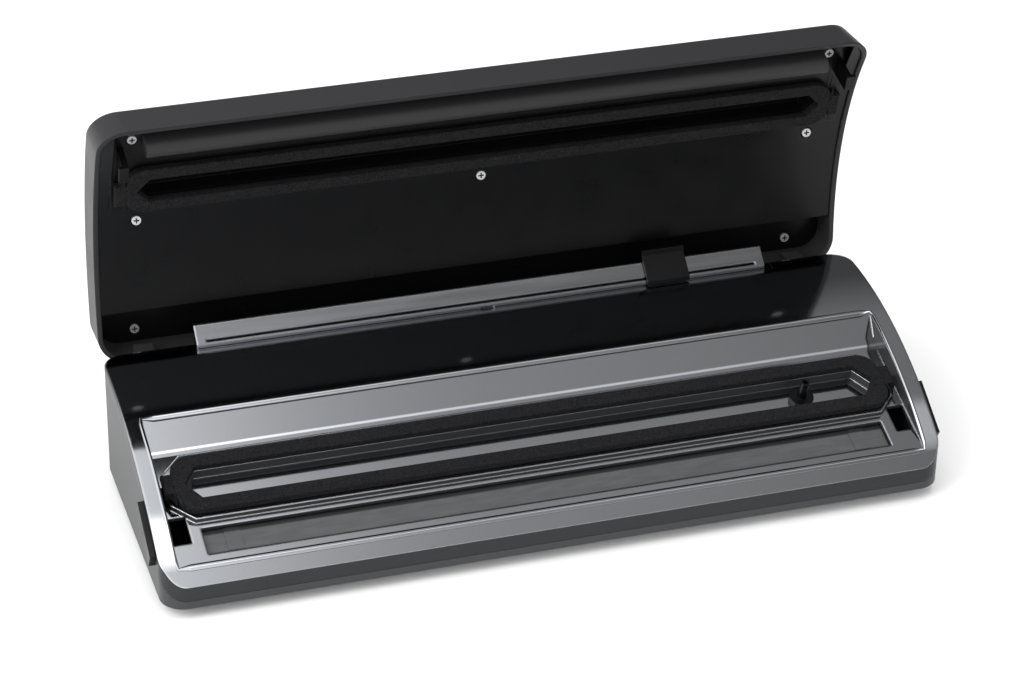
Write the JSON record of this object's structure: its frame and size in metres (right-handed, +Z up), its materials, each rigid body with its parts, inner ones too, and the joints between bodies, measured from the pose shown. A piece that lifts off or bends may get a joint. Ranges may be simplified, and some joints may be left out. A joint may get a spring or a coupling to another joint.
{
  "type": "vacuum sealer",
  "caption": "Countertop vacuum sealer: curved base with vacuum chamber, foam gaskets and heat-seal strip, hinged lid, cutter rail with slider, push buttons.",
  "frame": {"origin": "centre of the bounding box at the feet, lid open", "axes": "+X to the right, -Y to the front, +Z up"},
  "size_m": [0.406, 0.1765, 0.1984],
  "materials": {
    "housing_gloss": "high gloss metallic grey",
    "housing_satin": "satin grey",
    "lid_gloss": "dark grey gloss",
    "black_satin": "black satin",
    "foam": "fine foam",
    "rubber": "matt rubber",
    "tape": "woven coated tape",
    "chrome": "polished",
    "steel": "zinc plated",
    "board": "circuit board",
    "motor": "metal",
    "lens": "clear"
  },
  "bodies": {
    "base": {"lower_housing": "housing_satin", "upper_housing": "housing_gloss", "vacuum_tray": "housing_gloss", "base_gasket": "foam", "vacuum_nozzle": "black_satin", "nozzle_seal": "rubber", "seal_bar": "black_satin", "heating_strip": "steel", "ptfe_tape": "tape", "strip_clips": "tape", "cutter_rail": "chrome", "rubber_feet": "rubber", "housing_screws": "steel", "hinge_pins": "steel", "vacuum_pump": "motor", "pump_motor": "motor", "vacuum_hose": "rubber", "transformer": "motor", "board_posts": "housing_satin", "power_board": "board", "board_relay": "black_satin", "board_capacitor": "black_satin", "mains_inlet": "black_satin", "inlet_pins": "steel", "lid_switches": "black_satin"},
    "slider": {"cutter_slider": "black_satin", "cutter_blade": "steel"},
    "button_left": {"release_button_left": "black_satin"},
    "button_right": {"release_button_right": "black_satin"},
    "lid": {"lid_cover": "lid_gloss", "lid_inner_panel": "black_satin", "lid_chamber": "black_satin", "lid_gasket": "foam", "pressure_bar": "rubber", "latch_hooks": "black_satin", "lid_screws": "steel", "control_panel": "black_satin", "indicator_lenses": "lens", "control_board": "board", "control_posts": "black_satin"},
    "vacuum_key": {"vacuum_key": "housing_satin"},
    "seal_key": {"seal_key": "housing_satin"},
    "mode_key": {"mode_key": "housing_satin"},
    "stop_key": {"stop_key": "housing_satin"}
  },
  "joints": [
    {"name": "lid_hinge", "type": "hinge", "parent": "base", "child": "lid", "pos_m": [0, 0.056, 0.0585], "axis": [1, 0, 0], "range_deg": [0, 94]},
    {"name": "cutter_slide", "type": "slide", "parent": "base", "child": "slider", "axis": [1, 0, 0], "range_m": [-0.239, 0.043]},
    {"name": "release_left", "type": "slide", "parent": "base", "child": "button_left", "axis": [1, 0, 0], "range_m": [0, 0.0014], "stiffness_N_per_m": 900},
    {"name": "release_right", "type": "slide", "parent": "base", "child": "button_right", "axis": [-1, 0, 0], "range_m": [0, 0.0014], "stiffness_N_per_m": 900},
    {"name": "vacuum_key_press", "type": "slide", "parent": "lid", "child": "vacuum_key", "axis": [0, -0.9976, 0.0698], "range_m": [0, 0.001], "stiffness_N_per_m": 600},
    {"name": "seal_key_press", "type": "slide", "parent": "lid", "child": "seal_key", "axis": [0, -0.9976, 0.0698], "range_m": [0, 0.001], "stiffness_N_per_m": 600},
    {"name": "mode_key_press", "type": "slide", "parent": "lid", "child": "mode_key", "axis": [0, -0.9976, 0.0698], "range_m": [0, 0.001], "stiffness_N_per_m": 600},
    {"name": "stop_key_press", "type": "slide", "parent": "lid", "child": "stop_key", "axis": [0, -0.9976, 0.0698], "range_m": [0, 0.001], "stiffness_N_per_m": 600}
  ]
}
